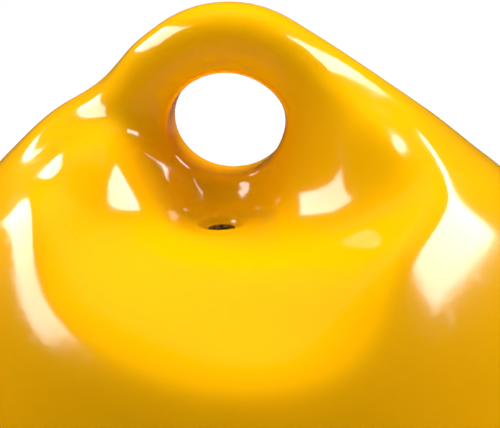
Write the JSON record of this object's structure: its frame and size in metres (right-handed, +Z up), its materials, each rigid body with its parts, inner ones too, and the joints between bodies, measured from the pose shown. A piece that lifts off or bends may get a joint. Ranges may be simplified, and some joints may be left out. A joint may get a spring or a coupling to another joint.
{
  "type": "pickup buoy",
  "caption": "Round inflatable vinyl mooring pickup buoy with one thick moulded eye on top, a scoop on each side of it and an air valve.",
  "frame": {"origin": "on the buoy's upright axis, at its waterline when it floats free", "axes": "+Z up along the buoy's axis, -Y towards the scoop that holds the valve, +X to the right seen from there"},
  "size_m": [0.3199, 0.3198, 0.3518],
  "materials": {
    "vinyl": "glossy moulded vinyl",
    "valve_rubber": "moulded rubber",
    "valve_plastic": "satin moulded plastic"
  },
  "bodies": {
    "root": {"eye_moulding": "vinyl", "body_shell": "vinyl", "valve_seat": "valve_rubber", "valve_core": "valve_plastic"}
  },
  "joints": []
}
